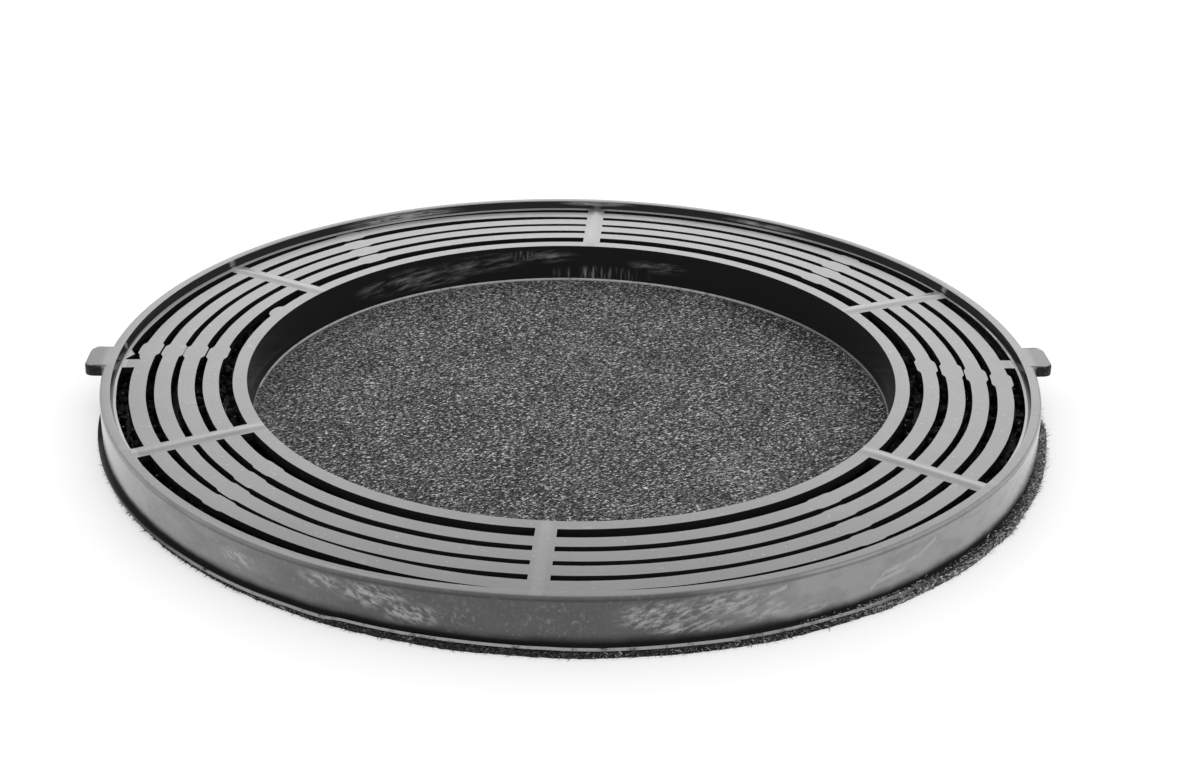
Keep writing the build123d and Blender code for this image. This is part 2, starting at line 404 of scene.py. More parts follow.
def shape_face(piece):
    """Moves the slots' edges to their true lines and raises the spokes' ribs."""
    true_angles = {}
    for opening in slot_openings():
        number, first, last = opening
        start, end, _ = opening_columns(opening)
        for edge in (2 * number, 2 * number + 1):
            true_angles[edge, start] = line_angle(first, SLOT_EDGES[edge])
            true_angles[edge, end] = line_angle(last, SLOT_EDGES[edge])
    rib_end = RIM_FOOT_RADIUS + SAME_PLACE
    rib_start = HOLE_RADIUS + INNER_RING_WIDTH / 2
    for point in piece.data.vertices:
        radius, angle = polar(point.co)
        if point.co.z < CEILING - SAME_PLACE:
            continue
        column = round(angle / COLUMN_ANGLE) % COLUMNS
        level = point.co.z
        edge = next((n for n, r in enumerate(SLOT_EDGES) if abs(r - radius) < SAME_PLACE), None)
        if edge is not None:
            angle = true_angles.get((edge, column), angle)
            radius += edge_shift(edge, angle)
        off_rib = radius * radians(min(abs(turn_between(angle, spoke)) for spoke in SPOKE_ANGLES))
        if rib_start < radius < rib_end and level > CEILING + SAME_PLACE:
            level += SPOKE_RIB_HEIGHT * smooth_step(SPOKE_RIB_SPREAD, 0, off_rib)
        point.co = at_polar(radius, angle, level)


def lug_outline(number, count):
    """How far across and how far out a point of the lug's tip lies, from its first point (0) to its last."""
    half, tip = LUG_WIDTH / 2 - LUG_CORNER, RIM_RADIUS + LUG_REACH
    side = 1 if number > count / 2 else -1
    from_side = min(number, count - number)
    if from_side >= LUG_CORNER_STEPS:
        return side * half * (1 - 2 * (from_side - LUG_CORNER_STEPS) / (count - 2 * LUG_CORNER_STEPS)), tip
    turn = pi / 2 * (1 - from_side / LUG_CORNER_STEPS)
    return side * (half + LUG_CORNER * sin(turn)), tip - LUG_CORNER * (1 - cos(turn))


def draw_lug(piece, lug):
    """Draws the bayonet lug at this angle out of the rim's wall, with two rounded corners."""
    half_angle = degrees(asin(LUG_WIDTH / 2 / RIM_RADIUS))
    start, end = (round((lug + side * half_angle) / COLUMN_ANGLE) for side in (-1, 1))
    count = end - start
    for point in piece.data.vertices:
        radius, angle = polar(point.co)
        column = round((angle % 360) / COLUMN_ANGLE)
        if abs(radius - RIM_RADIUS) < SAME_PLACE and start <= column <= end:
            share = 2 * (column - start) / count - 1
            turn = degrees(asin(share * LUG_WIDTH / 2 / RIM_RADIUS))
            point.co = at_polar(RIM_RADIUS, lug + turn, point.co.z)

    def on_lug(face):
        radius, angle = polar(face.center)
        on_wall = RIM_RADIUS - RIM_ROUNDING < radius < RIM_RADIUS + SAME_PLACE
        upright = abs(face.normal.z) < LEVEL_NORMAL
        high = face.center.z > TOP - LUG_THICKNESS
        return on_wall and upright and high and abs(turn_between(angle, lug)) < half_angle

    select_faces(piece, on_lug)
    bpy.ops.mesh.extrude_region_move()
    bpy.ops.object.mode_set(mode="OBJECT")
    along = Vector((cos(radians(lug)), sin(radians(lug)), 0))
    across = Vector((-along.y, along.x, 0))
    for point in piece.data.vertices:
        if point.select:
            number = round((point.co.dot(across) / LUG_WIDTH + 0.5) * count)
            sideways, outwards = lug_outline(number, count)
            point.co = across * sideways + along * outwards + Vector((0, 0, point.co.z))


def round_rim(piece):
    """Rounds the rim's and the lugs' top outer edge."""
    def top_edge(first, last):
        level = min(first.z, last.z) > TOP - SAME_PLACE
        outside = min(hypot(first.x, first.y), hypot(last.x, last.y)) > RIM_RADIUS - SAME_PLACE
        return level and outside

    edit(piece, "EDGE")
    mesh = piece.data
    facing = {}
    for face in mesh.polygons:
        for key in face.edge_keys:
            facing.setdefault(key, []).append(face.normal.z)
    for edge in mesh.edges:
        normals = facing[edge.key]
        sharp = len(normals) == 2 and min(normals) < LEVEL_NORMAL < max(normals)
        first, last = (mesh.vertices[number].co for number in edge.vertices)
        edge.select = sharp and top_edge(first, last)
    bpy.ops.object.mode_set(mode="EDIT")
    bpy.ops.mesh.bevel(offset=RIM_ROUNDING, segments=RIM_SEGMENTS, affect="EDGES")
    bpy.ops.object.mode_set(mode="OBJECT")


def draw_webs(piece):
    """Draws the web down under each spoke, from the ceiling of the channel."""
    def under_spoke(face):
        radius, angle = polar(face.center)
        off_spoke = min(abs(turn_between(angle, spoke)) for spoke in SPOKE_ANGLES)
        in_channel = CHANNEL_INNER_RADIUS < radius < CHANNEL_OUTER_RADIUS
        at_ceiling = face.center.z > CEILING - SAME_PLACE and face.normal.z < -LEVEL_NORMAL
        return off_spoke < WEB_COLUMNS * COLUMN_ANGLE and in_channel and at_ceiling

    select_faces(piece, under_spoke)
    bpy.ops.mesh.extrude_region_move(TRANSFORM_OT_translate={"value": (0, 0, -SPOKE_WEB_DEPTH)})
    bpy.ops.object.mode_set(mode="OBJECT")
    for point in piece.data.vertices:
        if point.select:
            radius, angle = polar(point.co)
            spoke = min(SPOKE_ANGLES, key=lambda middle: abs(turn_between(angle, middle)))
            share = turn_between(angle, spoke) / (WEB_COLUMNS * COLUMN_ANGLE)
            turn = degrees(asin(share * SPOKE_WEB_WIDTH / 2 / radius))
            point.co = at_polar(radius, spoke + turn, point.co.z)


def wave_flange(piece):
    """Lifts the flange's thin edge here and there, and on one side of the front by a clear step."""
    for point in piece.data.vertices:
        radius, angle = polar(point.co)
        if radius > FLANGE_RADIUS - SAME_PLACE and point.co.z < LEDGE_LEVEL:
            flat_place = Vector((point.co.x, point.co.y, 0))
            waver = FLANGE_WAVER * max(0, noise.noise(flat_place / FLANGE_WAVE_LENGTH))
            point.co.z += FLANGE_LIFT * within(FLANGE_STEP_ANGLES, angle) + waver


def lean_rim(piece):
    """Leans the rim in at the front, where the real ring is a little out of round."""
    for point in piece.data.vertices:
        radius, angle = polar(point.co)
        outside = smooth_step(SLOT_EDGES[1], FACE_RADIUS, radius)
        height = (point.co.z - FOOT) / (TOP - FOOT)
        lean = LEAN_DEPTH * within(LEAN_ANGLES, angle) * outside * height
        point.co = at_polar(radius - lean, angle, point.co.z)


def make_frame():
    """The moulded frame, spun from its section, slotted, with its lugs drawn out and its edges rounded."""
    piece = spun_ring("slotted_frame", frame_section(), COLUMNS)
    cut_slots(piece)
    draw_webs(piece)
    shape_face(piece)
    wave_flange(piece)
    for lug in LUG_ANGLES:
        draw_lug(piece, lug)
    round_rim(piece)
    edges = piece.modifiers.new("edges", "BEVEL")
    edges.width = EDGE_ROUNDING
    edges.segments = EDGE_SEGMENTS
    edges.limit_method = "ANGLE"
    edges.angle_limit = radians(SHARP_ANGLE)
    finish_modifiers(piece)
    lean_rim(piece)
    bpy.ops.object.shade_smooth_by_angle(angle=radians(SHARP_ANGLE))
    flat_faces = piece.modifiers.new("flat_faces", "WEIGHTED_NORMAL")
    flat_faces.keep_sharp = True
    finish_modifiers(piece)
    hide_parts("frame")
    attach(piece, "root")
    return piece


# Shader maths
class Value:
    """A socket of a node, which plain arithmetic joins to new Math nodes."""

    def __init__(self, finish, socket):
        self.finish = finish
        self.socket = socket

    def maths(self, operation, first, second=0.0):
        return self.finish.add("ShaderNodeMath", {0: first, 1: second}, operation=operation)

    def __add__(self, other):
        return self.maths("ADD", self, other)

    def __sub__(self, other):
        return self.maths("SUBTRACT", self, other)

    def __rsub__(self, other):
        return self.maths("SUBTRACT", other, self)

    def __mul__(self, other):
        return self.maths("MULTIPLY", self, other)

    def __truediv__(self, other):
        return self.maths("DIVIDE", self, other)

    __radd__ = __add__
    __rmul__ = __mul__

    def most(self, other):
        """The larger of the two."""
        return self.maths("MAXIMUM", self, other)

    def size(self):
        """The value without its sign."""
        return self.maths("ABSOLUTE", self)

    def rise(self, low, high):
        """0 where the value is below low, 1 above high, smooth between. High may be the lower of the two."""
        ends = {"Value": self, "From Min": low, "From Max": high}
        return self.finish.add("ShaderNodeMapRange", ends, interpolation_type="SMOOTHSTEP")


class Finish:
    """A material under construction. Its add method makes any node, settings first."""

    def __init__(self, name):
        self.material = bpy.data.materials.new(name)
        self.material.use_nodes = True
        self.tree = self.material.node_tree
        self.shader = self.tree.nodes["Principled BSDF"]
        self.place = self.add("ShaderNodeTexCoord", output="Object")

    def add(self, kind, inputs=None, output=0, **settings):
        """Adds a node with these settings and these values or links of its sockets, and gives one output."""
        node = self.tree.nodes.new(kind)
        for name, setting in settings.items():
            setattr(node, name, setting)
        for name, value in (inputs or {}).items():
            self.join(node.inputs[name], value)
        return Value(self, node.outputs[output])

    def join(self, socket, value):
        """Links a value to a socket, or sets the socket to a plain number or colour."""
        if isinstance(value, Value):
            self.tree.links.new(value.socket, socket)
        else:
            socket.default_value = value

    def set(self, **sockets):
        """Sets or links the shader's own sockets, with underscores for the spaces in their names."""
        for name, value in sockets.items():
            self.join(self.shader.inputs[name.replace("_", " ")], value)

    def noise(self, size, place=None, detail=2.0, roughness=0.5):
        """Soft noise whose lumps are about this size, in metres."""
        inputs = {"Vector": place or self.place, "Scale": 1 / size, "Detail": detail, "Roughness": roughness}
        return self.add("ShaderNodeTexNoise", inputs)

    def mix(self, factor, first, second):
        """Blends two colours, each a grey number, a colour or a socket."""
        inputs = {0: factor}
        for number, colour in ((6, first), (7, second)):
            inputs[number] = (colour, colour, colour, 1) if isinstance(colour, float) else colour
        return self.add("ShaderNodeMix", inputs, output=2, data_type="RGBA")

    def streaks(self, place, size, turn=0.0, **settings):
        """Noise whose lumps are turned about Z and have this size along each way, in millimetres."""
        inputs = {"Vector": place, "Rotation": (0, 0, radians(turn))}
        turned = self.add("ShaderNodeMapping", inputs, vector_type="TEXTURE")
        lengths = tuple(length * MM for length in size)
        scaled = self.add("ShaderNodeVectorMath", {0: turned, 1: lengths}, operation="DIVIDE")
        return self.noise(1.0, scaled, **settings)

    def wall_streaks(self, radius, size, turn=0.0, **settings):
        """Streaks on a wall of this radius laid out flat, sized along and up it in millimetres."""
        along = self.angle() * (radians(1) * radius)
        flat = self.add("ShaderNodeCombineXYZ", {0: along, 1: self.part("Z")})
        return self.streaks(flat, (*size, 1.0), turn, **settings)

    def part(self, axis):
        """One coordinate of the place on the piece."""
        return self.add("ShaderNodeSeparateXYZ", {0: self.place}, output=axis)

    def radius(self):
        """Distance from the ring's axis."""
        flat = self.add("ShaderNodeVectorMath", {0: self.place, 1: (1, 1, 0)}, operation="MULTIPLY")
        return self.add("ShaderNodeVectorMath", {0: flat}, output="Value", operation="LENGTH")

    def angle(self):
        """Angle round the ring's axis, in degrees from -180 to 180."""
        turn = self.add("ShaderNodeMath", {0: self.part("Y"), 1: self.part("X")}, operation="ARCTAN2")
        return turn * degrees(1)

    def near(self, radius, mark):
        """1 at the middle of a mark on a wall of this radius, falling to 0 at the mark's edge."""
        angle, level, length, depth = mark
        middle = tuple(at_polar(radius, angle, level * MM))
        away = self.add("ShaderNodeVectorMath", {0: self.place, 1: middle}, operation="SUBTRACT")
        size = (length / 2 * MM, length / 2 * MM, depth / 2 * MM)
        scaled = self.add("ShaderNodeVectorMath", {0: away, 1: size}, operation="DIVIDE")
        distance = self.add("ShaderNodeVectorMath", {0: scaled}, output="Value", operation="LENGTH")
        return distance.rise(1.0, 0.3)

    def all_near(self, radius, marks):
        """The strongest of several marks on a wall of this radius."""
        strongest = self.near(radius, marks[0])
        for mark in marks[1:]:
            strongest = strongest.most(self.near(radius, mark))
        return strongest

    def scratch(self, start, end, width):
        """A straight scratch on a wall between two (angle, height) ends, in degrees and millimetres."""
        share = (self.angle() - float(start[0])) / (end[0] - start[0])
        line = share * ((end[1] - start[1]) * MM) + start[1] * MM
        off = (self.part("Z") - line).size()
        return off.rise(width / 2 * MM, width / 8 * MM) * share.rise(-0.06, 0.06) * share.rise(1.06, 0.94)

    def specks(self, spacing, size):
        """Round specks seen from above, at this rough spacing and radius."""
        inputs = {"Vector": self.place, "Scale": 1 / spacing}
        gap = self.add("ShaderNodeTexVoronoi", inputs, output="Distance", voronoi_dimensions="2D")
        return gap.rise(size / spacing, size / spacing * 0.5)

    def bump(self, height, distance):
        """A Bump node for the shader's Normal. The height is 0 to 1 and the distance its full size."""
        return self.add("ShaderNodeBump", {"Height": height, "Distance": distance})


# Greys of the frame's plastic: clean walls, tops grey with dust and painted sheen, marks, and painted light
# and shade
WALL_BLACK = 0.018
SHEEN_AND_DUST_GREY = 0.195
SCUFF_GREY = 0.42
WALL_LIGHT_GREY = 0.32
SMEAR_GREY = 0.32
EDGE_HIGHLIGHT_GREY = 0.7
DUST_GREY = 0.45
DIMMED_GREY = 0.02

# Marks on the frame's walls and on the felt: angle, height, length and depth, in degrees and millimetres
FALLING_SCUFFS = ((-107, 9, 22, 8), (-103, 6.5, 18, 7), (-124, 8, 14, 6), (-113, 10, 14, 5))
RISING_SCUFFS = ((-77, 8.4, 26, 9), (-70, 9.5, 26, 8), (-66, 6.5, 16, 6), (-74, 5.2, 24, 4),
                 (-60, 4.4, 10, 3))
SPECKLED_PATCHES = ((-98, 8, 16, 9), (-88, 8, 24, 10), (-59, 8, 16, 6))
INNER_SMEARS = ((113, 7.5, 34, 7), (130, 6.5, 36, 8), (123, 4, 24, 4), (99, 8.6, 22, 5), (76, 7, 20, 5))
FOOT_STREAKS = ((88, 3.4, 34, 6), (104, 9, 14, 4))
RIM_SCUFFS = ((64, 12, 30, 1.4), (120, 12, 44, 3), (90, 12.6, 26, 1.6))
RIM_RUNS = ((30, 12.4, 3, 3), (90, 12.4, 4, 3), (150, 12.4, 3.4, 3), (180, 12.4, 3, 3))
DARK_SPOKE_END = (90, 11, 9, 4)
LIGHT_FELT_RADIUS = 55 * MM
LIGHT_FELT = (-40, 1.5, 30, 30)

# Scratches on the outside wall: the angle and height of both ends
OUTER_SCRATCHES = (((-53, 5), (-51, 7.6)), ((-51, 7.6), (-46, 8.2)), ((-46, 8.2), (-43, 10.4)),
                   ((-52, 6), (-48, 6.8)), ((-65.5, 10), (-63.5, 11)))
SCRATCH_WIDTH = 1.4


def on_outside(finish):
    """1 on the outside wall, where the rim leans in too, and 0 on all that is inside of it."""
    return finish.radius().rise(RIM_RADIUS - 2.4 * MM, RIM_RADIUS - 1.5 * MM)


def outer_marks(finish):
    """Scuffs and scratches on the outside wall."""
    falling = finish.wall_streaks(RIM_RADIUS, (2.8, 1.3), -26, detail=5.0, roughness=0.65)
    rising = finish.wall_streaks(RIM_RADIUS, (3.2, 1.1), 18, detail=5.0, roughness=0.65)
    scuffs = finish.all_near(RIM_RADIUS, FALLING_SCUFFS) * falling.rise(0.4, 0.64)
    scuffs = scuffs.most(finish.all_near(RIM_RADIUS, RISING_SCUFFS) * rising.rise(0.4, 0.64))
    lumps = finish.noise(1.3 * MM, detail=3.0, roughness=0.6)
    scuffs = scuffs.most(finish.all_near(RIM_RADIUS, SPECKLED_PATCHES) * lumps.rise(0.5, 0.75) * 0.4)
    fine = finish.wall_streaks(RIM_RADIUS, (0.6, 2.4))
    scuffs = scuffs.most(fine.rise(0.5, 0.85) * 0.1)
    dots = finish.noise(0.9 * MM, detail=1.0)
    scuffs = scuffs.most(dots.rise(0.6, 0.8) * 0.2)
    for start, end in OUTER_SCRATCHES:
        scuffs = scuffs.most(finish.scratch(start, end, SCRATCH_WIDTH) * rising.rise(0.25, 0.55))
    return scuffs * on_outside(finish)


def painted_wall_light(finish):
    """Painted light on the outside wall: lighter towards the left and the right, darkest in front, and
    blotchy.
    """
    angle = finish.angle()
    left = angle.rise(-98.0, -130.0)
    right = angle.rise(-82.0, -58.0)
    strength = right * angle.rise(60.0, 0.0) * 0.4 + 0.6
    haze = (left.most(right) * strength).most(0.12)
    blotches = finish.wall_streaks(RIM_RADIUS, (9, 4), detail=4.0, roughness=0.6)
    return haze * (blotches.rise(0.25, 0.75) * 0.5 + 0.7)


def inner_marks(finish):
    """Smears across and streaks down the wall of the hole."""
    smeared = finish.wall_streaks(HOLE_RADIUS, (8, 1.5), -6, detail=5.0, roughness=0.6)
    streaks = finish.wall_streaks(HOLE_RADIUS, (0.7, 9), detail=3.0)
    marks = finish.all_near(HOLE_RADIUS, INNER_SMEARS) * smeared.rise(0.4, 0.8)
    marks = marks.most(finish.all_near(HOLE_RADIUS, FOOT_STREAKS) * streaks.rise(0.46, 0.76))
    return marks * finish.radius().rise(HOLE_RADIUS + 1.0 * MM, HOLE_RADIUS + 0.5 * MM)


def rim_marks(finish):
    """Scuffs round the inside of the rim, and light runs up it beside the spokes."""
    dragged = finish.wall_streaks(RIM_INNER_RADIUS, (5, 0.35), detail=5.0, roughness=0.7)
    marks = finish.all_near(RIM_INNER_RADIUS, RIM_SCUFFS) * dragged.rise(0.34, 0.64)
    marks = marks.most(finish.all_near(RIM_INNER_RADIUS, RIM_RUNS) * dragged.rise(0.35, 0.6) * 0.8)
    radius = finish.radius()
    on_rim = radius.rise(FACE_RADIUS, RIM_FOOT_RADIUS) * radius.rise(RIM_RADIUS - 1.0 * MM, RIM_INNER_RADIUS)
    return marks * on_rim


def painted_edge_highlights(finish, upward):
    """Painted highlights on the thin edges of the flange outside and the lip inside, broken here and there.
    """
    radius = finish.radius()
    angle = finish.angle()
    broken = finish.wall_streaks(RIM_RADIUS, (3, 3), detail=4.0, roughness=0.7)
    low = finish.part("Z").rise(FOOT + 1.6 * MM, FOOT + 1.2 * MM)
    in_front = angle.rise(-142.0, -126.0) * angle.rise(-42.0, -56.0)
    flange = radius.rise(FLANGE_RADIUS - 0.3 * MM, FLANGE_RADIUS - 0.15 * MM)
    flange = flange * (in_front * 0.57 + 0.04) * broken.rise(0.25, 0.5)
    lip = radius.rise(LIP_RADIUS + 0.4 * MM, LIP_RADIUS + 0.15 * MM) * broken.rise(0.2, 0.5)
    lip = lip * (angle.rise(30.0, 70.0) * 0.6 + 0.4)
    return flange.most(lip) * low * upward.rise(-0.35, 0.1)


def rib_highlight(finish):
    """Painted highlight: 1 along the middle of each spoke's rib, 0 beside it and on the inner ring."""
    turn = finish.add("ShaderNodeMath", {0: finish.angle() + 180.0, 1: float(SECTOR)}, operation="MODULO")
    radius = finish.radius()
    off_rib = (turn - SECTOR / 2).size() * radius * radians(1)
    off_ring = radius.rise(HOLE_RADIUS, HOLE_RADIUS + 4 * MM)
    return off_rib.rise(SPOKE_RIB_SPREAD, SPOKE_RIB_SPREAD / 3) * off_ring


def fine_dust(finish):
    """Specks of two sizes and faint smudges of dust on the tops."""
    dust = (finish.specks(9 * MM, 0.35 * MM) * 0.5).most(finish.specks(3.7 * MM, 0.2 * MM) * 0.25)
    return dust.most(finish.noise(2.6 * MM).rise(0.62, 0.8) * 0.25)


def ledge_highlight(finish):
    """Painted highlight: 1 on the ledge inside the rim, drawn lighter than the bars."""
    radius = finish.radius()
    ledge = radius.rise(FACE_RADIUS - 0.9 * MM, FACE_RADIUS - 0.6 * MM)
    ledge = ledge * radius.rise(RIM_FOOT_RADIUS + 0.3 * MM, RIM_FOOT_RADIUS + 0.1 * MM)
    return ledge * finish.part("Z").rise(LEDGE_LEVEL + 0.8 * MM, LEDGE_LEVEL + 0.4 * MM)


def darker_tops(finish):
    """Where the tops are drawn darker and without coat: painted shade on the rim at the back and on the
    front, and darker lugs and one spoke's end.
    """
    radius = finish.radius()
    backward = finish.part("Y") / RIM_RADIUS
    dimmed = radius.rise(RIM_FOOT_RADIUS, RIM_INNER_RADIUS) * backward.rise(0.2, 0.9) * 0.7
    dimmed = dimmed.most(backward.rise(-0.4, -1.0) * 0.25)
    dimmed = dimmed.most(radius.rise(RIM_RADIUS, RIM_RADIUS + 1.5 * MM) * 0.25)
    return dimmed.most(finish.near(RIM_FOOT_RADIUS, DARK_SPOKE_END) * 0.7)


def clear_of_foot_shade(finish):
    """1 on the outside wall away from the painted shade of its uneven dark foot, and a little less under the
    rim's edge.
    """
    level = finish.part("Z")
    uneven = finish.wall_streaks(RIM_RADIUS, (7, 7), detail=3.0) * (1.6 * MM)
    clear = (level + uneven).rise(FOOT + 1.9 * MM, FOOT + 4.4 * MM)
    under_edge = level.rise(TOP - 1.3 * MM, TOP - 1.0 * MM) * level.rise(TOP - 0.4 * MM, TOP - 0.7 * MM)
    return clear * (1.0 - under_edge * 0.4)


def top_colour(finish, grain, dimmed):
    """The colour of the flat tops: grey for their dust and as painted sheen, with painted highlights and
    darker places.
    """
    blotches = finish.noise(14 * MM, detail=3.0)
    top = finish.mix(blotches.rise(0.3, 0.7), SHEEN_AND_DUST_GREY * 0.93, SHEEN_AND_DUST_GREY * 1.06)
    top = finish.mix(grain.rise(0.35, 0.75) * 0.35, top, SHEEN_AND_DUST_GREY * 1.25)
    # Painted highlight along the spokes' ribs
    top = finish.mix(rib_highlight(finish) * 0.5, top, SHEEN_AND_DUST_GREY * 1.5)
    top = finish.mix(fine_dust(finish), top, DUST_GREY)
    # Painted highlight along the ledge inside the rim
    top = finish.mix(ledge_highlight(finish), top, SHEEN_AND_DUST_GREY * 2)
    return finish.mix(dimmed, top, DIMMED_GREY)


def wall_colour(finish, upward, outside, clear):
    """The colour of the walls: black, with painted light outside, scuffs and smears, and painted highlights
    on thin edges.
    """
    # Painted light on the outside wall, lighter towards the sides
    wall = finish.mix(painted_wall_light(finish) * outside * clear, WALL_BLACK, WALL_LIGHT_GREY)
    wall = finish.mix(outer_marks(finish) * clear, wall, SCUFF_GREY)
    wall = finish.mix(inner_marks(finish), wall, SMEAR_GREY)
    wall = finish.mix(rim_marks(finish), wall, SCUFF_GREY)
    # Painted highlights on the flange's and the lip's thin edges
    return finish.mix(painted_edge_highlights(finish, upward), wall, EDGE_HIGHLIGHT_GREY)


def frame_plastic():
    """Black moulded plastic: scuffed walls, and flat tops greyish with fine dust and painted sheen.

    Only the tops and the outside wall have a coat, for their sheen, so the slots and inner walls stay dark.
    """
    finish = Finish("frame_plastic")
    facing = finish.add("ShaderNodeNewGeometry", output="Normal")
    upward = finish.add("ShaderNodeSeparateXYZ", {0: facing}, output="Z")
    # Upward faces take the lighter top colour: their dust, and painted sheen
    on_top = upward.rise(0.72, 0.97) * finish.part("Z").rise(FOOT + 4 * MM, FOOT + 6 * MM)
    outside = on_outside(finish) * finish.radius().rise(RIM_RADIUS + 0.9 * MM, RIM_RADIUS + 0.3 * MM)
    # Painted shade: the outside wall's foot stays black and without coat
    clear = clear_of_foot_shade(finish)
    # Painted shade on the back rim and the front tops; the lugs and one spoke's end darker too
    dimmed = darker_tops(finish)
    grain = finish.noise(0.7 * MM, detail=4.0, roughness=0.65)
    wall = wall_colour(finish, upward, outside, clear)
    colour = finish.mix(on_top, wall, top_colour(finish, grain, dimmed))
    sheen = (on_top * (1.0 - dimmed)).most(outside * clear)
    finish.set(Base_Color=colour, Roughness=on_top * 0.2 + 0.2, Specular_IOR_Level=0.1)
    finish.set(Coat_Weight=sheen, Coat_Roughness=0.24, Coat_IOR=1.6)
    finish.set(Normal=finish.bump(grain, 0.02 * MM))
    return finish.material


def carbon_felt():
    """Dark pressed felt with lighter slanting fibres, and a cut edge that is dark only at the front left."""
    finish = Finish("carbon_felt")
    radius = finish.radius()
    angle = finish.angle()
    strands = finish.streaks(finish.place, (1.2, 0.5, 0.5), 35, detail=1.0, roughness=0.7)
    specks = finish.streaks(finish.place, (0.4, 0.55, 0.4), 60, detail=1.0, roughness=0.7)
    patches = finish.noise(22 * MM, detail=3.0)
    both = strands * 0.5 + specks * 0.5
    brightest = both.rise(0.56, 0.66)
    fibres = both.rise(0.38, 0.6)
    light = finish.mix(patches.rise(0.3, 0.7), 0.2, 0.3)
    light = finish.mix(finish.near(LIGHT_FELT_RADIUS, LIGHT_FELT) * 0.5, light, 0.5)
    beside_lip = radius.rise(LIP_RADIUS - 12 * MM, LIP_RADIUS)
    shaded = beside_lip * angle.rise(-30.0, 0.0) * angle.rise(80.0, 50.0)
    light = finish.mix(shaded * 0.5, light, 0.02)
    light = finish.mix(brightest, light, 0.8)
    frayed = finish.mix(angle.rise(-62.0, -44.0), 0.06, finish.mix(brightest, 0.4, 1.0))
    cut_edge = radius.rise(FLANGE_RADIUS - 0.8 * MM, FLANGE_RADIUS - 0.2 * MM)
    light = finish.mix(cut_edge, light, frayed)
    finish.set(Base_Color=finish.mix(fibres, 0.008, light), Roughness=0.9, Specular_IOR_Level=0.2)
    finish.set(Normal=finish.bump(fibres, 0.5 * MM))
    return finish.material


def loose_fibres():
    """Single fibres out of the felt: dark at the front left, lighter elsewhere and as lint."""
    finish = Finish("loose_fibres")
    shade = finish.noise(0.7 * MM, detail=2.0).rise(0.35, 0.65)
    angle = finish.angle()
    dark = finish.radius().rise(LIP_RADIUS, FLANGE_RADIUS) * angle.rise(-72.0, -104.0)
    light = finish.mix(dark, 0.7, 0.1)
    finish.set(Base_Color=finish.mix(shade, 0.02, light), Roughness=0.8, Specular_IOR_Level=0.2)
    return finish.material


def activated_carbon():
    """Crushed activated carbon: black, with glints painted into its colour as light specks."""
    finish = Finish("activated_carbon")
    pits = finish.noise(0.5 * MM, detail=4.0, roughness=0.7)
    painted_glints = finish.specks(2.6 * MM, 0.16 * MM)
    colour = finish.mix(painted_glints, finish.mix(pits, 0.003, 0.009), 0.6)
    finish.set(Base_Color=colour, Roughness=pits.rise(0.2, 0.8) * 0.3 + 0.45)
    finish.set(Normal=finish.bump(pits, 0.1 * MM), Specular_IOR_Level=0.15)
    return finish.material


def table_white():
    """A white table top that keeps the filter's soft shadow."""
    finish = Finish("table_white")
    rays = finish.tree.nodes.new("ShaderNodeLightPath")
    seen = Value(finish, rays.outputs["Is Camera Ray"])
    for name in ("Is Glossy Ray", "Is Transmission Ray"):
        seen = seen.most(Value(finish, rays.outputs[name]))
    finish.set(Base_Color=(0.8, 0.8, 0.8, 1), Roughness=0.9, Specular_IOR_Level=0.0)
    glow = finish.add("ShaderNodeEmission", {"Color": (1, 1, 1, 1), "Strength": seen * FLOOR_GLOW})
    both = finish.add("ShaderNodeAddShader", {0: Value(finish, finish.shader.outputs[0]), 1: glow})
    finish.tree.links.new(both.socket, finish.tree.nodes["Material Output"].inputs["Surface"])
    return finish.material


def dress(piece, material):
    """The piece wears this one material."""
    piece.data.materials.clear()
    piece.data.materials.append(material)


# Felt: a fine grid, a grain that lies a little low and fades out at the lip, with its lumps' sizes and
# weights, and a cut edge that wavers coarsely and finely
FELT_CELL = 1.1 * MM
FELT_GRAIN = 0.1 * MM
FELT_LUMPS = ((2.5 * MM, 1.0), (7 * MM, 0.6))
FELT_SINK = 1.2
FELT_FADE = 3 * MM
FELT_SMOOTH_ANGLE = 50
CUT_WAVER = 0.35 * MM
CUT_FINENESS = (9, 90)


def felt_edge(angle):
    """How far the felt's uneven cut edge is from the felt's middle at this angle."""
    along = at_polar(1, angle, 0)
    uneven = sum(noise.noise(along * fineness) * CUT_WAVER for fineness in CUT_FINENESS)
    return FELT_RADIUS - CUT_WAVER + uneven


def raise_grain(felt):
    """Makes the felt's face lumpy where it shows in the middle."""
    for point in felt.data.vertices:
        radius, _ = polar(point.co)
        if radius < LIP_RADIUS and point.co.z > FELT_LOW.z + SAME_PLACE:
            fade = smooth_step(LIP_RADIUS, LIP_RADIUS - FELT_FADE, radius)
            lump = sum(noise.noise(point.co / size) * weight for size, weight in FELT_LUMPS)
            point.co.z += (lump - FELT_SINK) * FELT_GRAIN * fade


